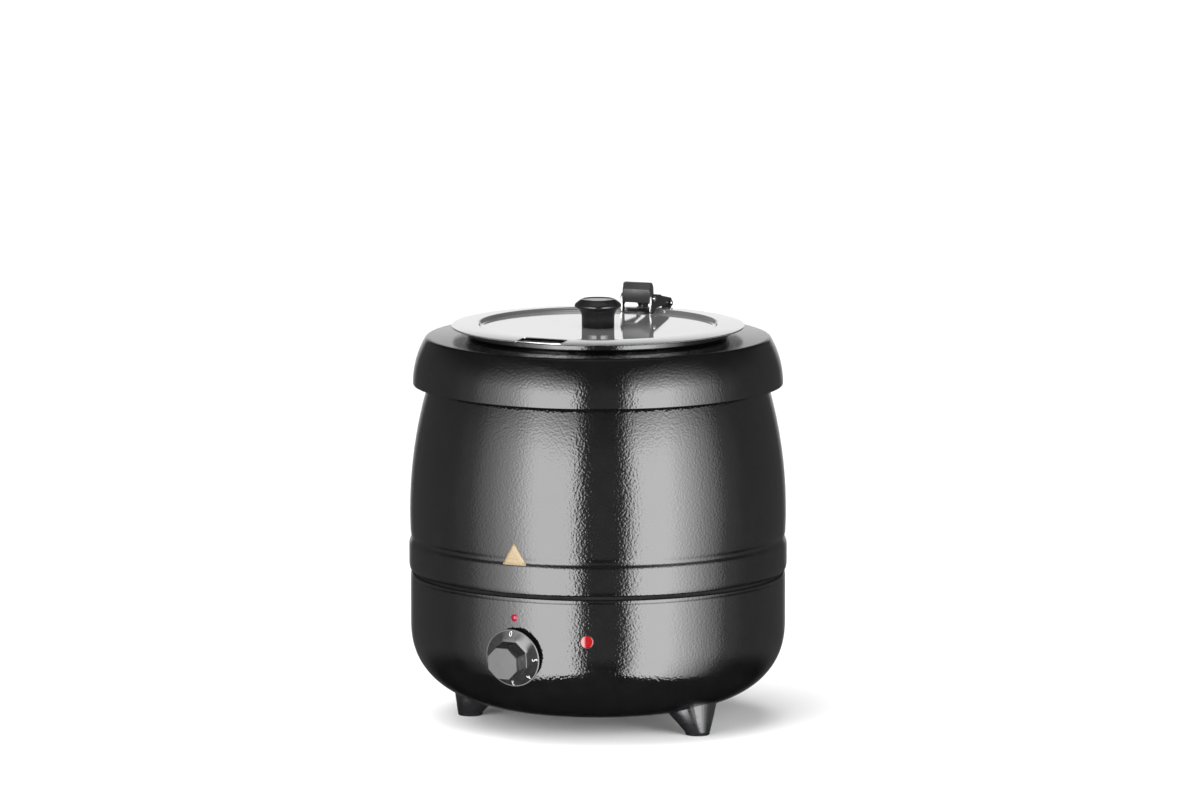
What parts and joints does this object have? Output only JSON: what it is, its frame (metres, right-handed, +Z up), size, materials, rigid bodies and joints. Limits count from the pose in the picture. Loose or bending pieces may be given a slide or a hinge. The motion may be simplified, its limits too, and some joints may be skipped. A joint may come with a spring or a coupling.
{
  "type": "soup kettle",
  "caption": "Round black wet-heat soup kettle: bowl base with heat dial and pilot lamp, barrel casing, top ring, lift-out steel pot, and hinged polished lid with ladle notch.",
  "frame": {"origin": "on the kettle's axis at the level of the surface that it stands on", "axes": "+Z up; -Y is the front, where the dial is; +Y is the back, where the lead comes in, and the lid's hinge is there too, 5 degrees round from it because the pot is set down at that angle; +X is to the right of someone facing the dial"},
  "size_m": [0.3449, 0.3822, 0.391],
  "materials": {
    "hammertone_black": "glossy black powder coat with a fine hammered skin",
    "satin_black": "satin black",
    "bracket_black": "gloss black paint with bright cut edges",
    "lever_grey": "dark grey satin paint",
    "satin_steel": "stainless, spun and brushed",
    "polished_steel": "stainless, mirror polished",
    "aluminium": "plain rolled",
    "element_sheath": "heat-dulled sheath",
    "zinc_steel": "zinc plated",
    "bright_steel": "bright nickel",
    "rubber_black": "matt",
    "cream_plastic": "heat-resisting moulding",
    "copper": "plain copper",
    "black_plastic": "satin nylon",
    "cable_insulation": "silicone insulation, several colours",
    "brass": "plain brass",
    "red_lens": "clear red lens",
    "red_dot": "red enamel dot",
    "amber_film": "plain amber film",
    "phenolic_black": "glossy black phenolic"
  },
  "bodies": {
    "kettle": {"base_pan": "hammertone_black", "barrel_shell": "hammertone_black", "seam_ring": "rubber_black", "top_ring": "hammertone_black", "water_tank": "satin_steel", "heat_plate": "aluminium", "heating_element": "element_sheath", "element_clamp": "zinc_steel", "heat_shield": "aluminium", "stud_nuts": "zinc_steel", "tie_rods": "zinc_steel", "tie_nuts": "zinc_steel", "foot_left": "satin_black", "foot_right": "satin_black", "foot_rear": "satin_black", "foot_pads": "rubber_black", "base_cover": "satin_black", "cover_screws": "zinc_steel", "thermostat": "cream_plastic", "thermostat_screws": "zinc_steel", "sensor_bulb": "copper", "bulb_clips": "zinc_steel", "capillary_tube": "copper", "thermal_cutout": "black_plastic", "terminal_block": "cream_plastic", "wiring": "cable_insulation", "earth_stud": "brass", "cable_gland": "black_plastic", "gland_nut": "black_plastic", "lamp_bezel": "black_plastic", "lamp_lens": "red_lens", "lamp_body": "cream_plastic", "lamp_clip": "zinc_steel", "dial_marker": "red_dot", "heat_patch": "amber_film"},
    "heat_dial": {"dial": "phenolic_black", "thermostat_shaft": "zinc_steel", "dial_clip": "zinc_steel"},
    "pot": {"inner_pot": "satin_steel", "hinge_clamp": "bracket_black", "hinge_pin": "bright_steel"},
    "lid": {"lid_pan": "polished_steel", "lid_bracket": "bracket_black", "bracket_rivets": "bright_steel", "lever_pin": "bright_steel", "lid_knob": "phenolic_black", "knob_screw": "zinc_steel"},
    "lever": {"release_lever": "lever_grey", "lever_spring": "zinc_steel"}
  },
  "joints": [
    {"name": "pot_lift", "type": "slide", "parent": "kettle", "child": "pot", "axis": [0, 0, 1], "range_m": [0, 0.27]},
    {"name": "lid_hinge", "type": "hinge", "parent": "pot", "child": "lid", "pos_m": [-0.01281, 0.14644, 0.367], "axis": [-0.9962, -0.0872, 0], "range_deg": [0, 100]},
    {"name": "lever_press", "type": "hinge", "parent": "lid", "child": "lever", "pos_m": [-0.00902, 0.10311, 0.3762], "axis": [0.9962, 0.0872, 0], "range_deg": [0, 18], "stiffness_Nm_per_rad": 0.2, "springref_deg": -20.05},
    {"name": "dial_turn", "type": "hinge", "parent": "kettle", "child": "heat_dial", "pos_m": [0, -0.1711, 0.0844], "axis": [0, 0.9945, 0.1045], "range_deg": [0, 270]}
  ]
}
